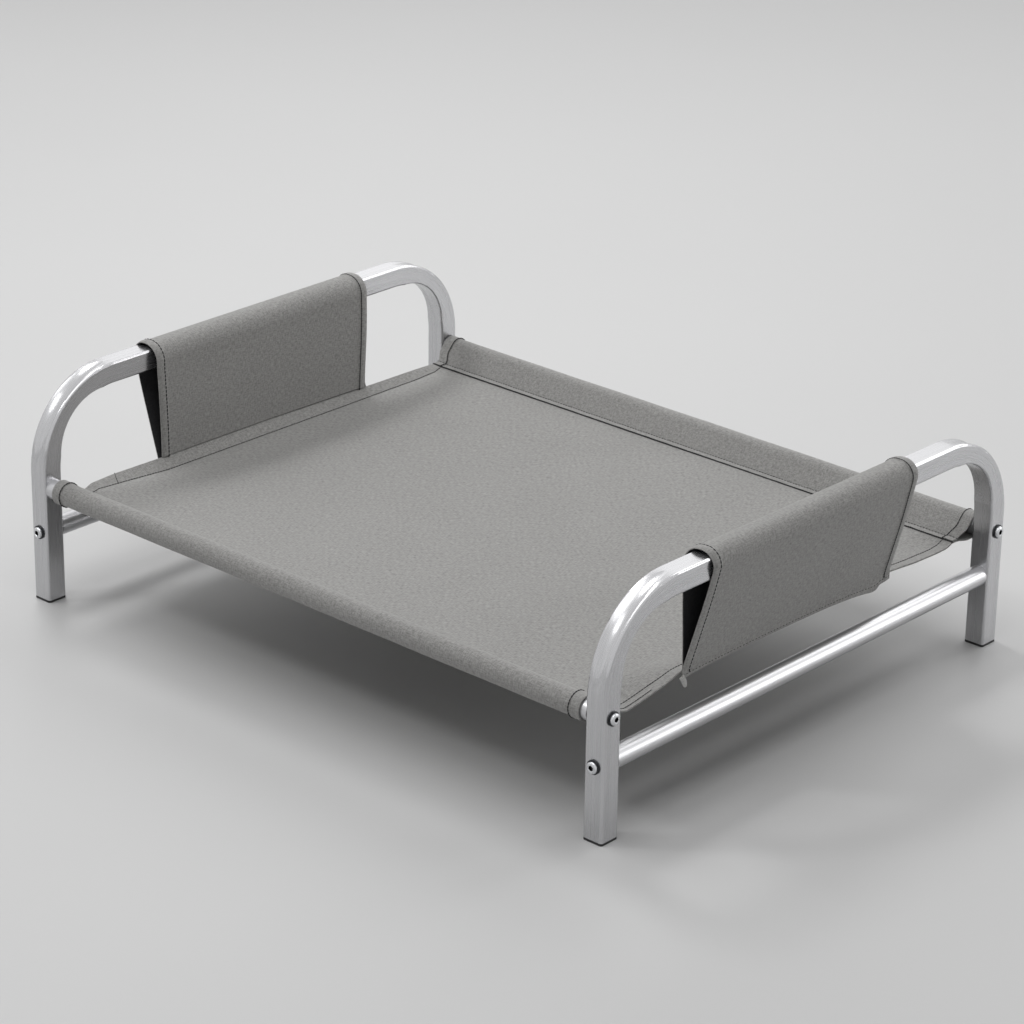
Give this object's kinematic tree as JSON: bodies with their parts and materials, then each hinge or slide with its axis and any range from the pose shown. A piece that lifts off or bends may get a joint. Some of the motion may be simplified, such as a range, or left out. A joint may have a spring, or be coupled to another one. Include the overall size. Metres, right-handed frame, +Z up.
{
  "type": "raised dog cot",
  "caption": "Raised pet cot: a canvas bed stretched on round side rails between bent square-tube end hoops, with canvas arm wraps, low crossbars, socket bolts and foot caps.",
  "frame": {"origin": "on the floor under the middle of the cot", "axes": "+Z up, +X along the side rails, -Y the front"},
  "size_m": [0.9332, 0.7332, 0.2915],
  "materials": {
    "satin_aluminium": "satin, brushed",
    "insert_aluminium": "turned",
    "bolt_steel": "bright zinc",
    "black_plastic": "matte",
    "grey_canvas": "heathered plain weave"
  },
  "bodies": {
    "root": {"left_end_hoop": "satin_aluminium", "right_end_hoop": "satin_aluminium", "front_side_rail": "satin_aluminium", "back_side_rail": "satin_aluminium", "left_crossbar": "satin_aluminium", "right_crossbar": "satin_aluminium", "front_left_foot_cap": "black_plastic", "front_left_rail_plug": "insert_aluminium", "front_left_rail_washer": "bolt_steel", "front_left_rail_bolt": "bolt_steel", "front_left_crossbar_plug": "insert_aluminium", "front_left_crossbar_washer": "bolt_steel", "front_left_crossbar_bolt": "bolt_steel", "front_right_foot_cap": "black_plastic", "front_right_rail_plug": "insert_aluminium", "front_right_rail_washer": "bolt_steel", "front_right_rail_bolt": "bolt_steel", "front_right_crossbar_plug": "insert_aluminium", "front_right_crossbar_washer": "bolt_steel", "front_right_crossbar_bolt": "bolt_steel", "back_left_foot_cap": "black_plastic", "back_left_rail_plug": "insert_aluminium", "back_left_rail_washer": "bolt_steel", "back_left_rail_bolt": "bolt_steel", "back_left_crossbar_plug": "insert_aluminium", "back_left_crossbar_washer": "bolt_steel", "back_left_crossbar_bolt": "bolt_steel", "back_right_foot_cap": "black_plastic", "back_right_rail_plug": "insert_aluminium", "back_right_rail_washer": "bolt_steel", "back_right_rail_bolt": "bolt_steel", "back_right_crossbar_plug": "insert_aluminium", "back_right_crossbar_washer": "bolt_steel", "back_right_crossbar_bolt": "bolt_steel", "bed_sling": "grey_canvas", "left_arm_wrap": "grey_canvas", "right_arm_wrap": "grey_canvas"}
  },
  "joints": []
}
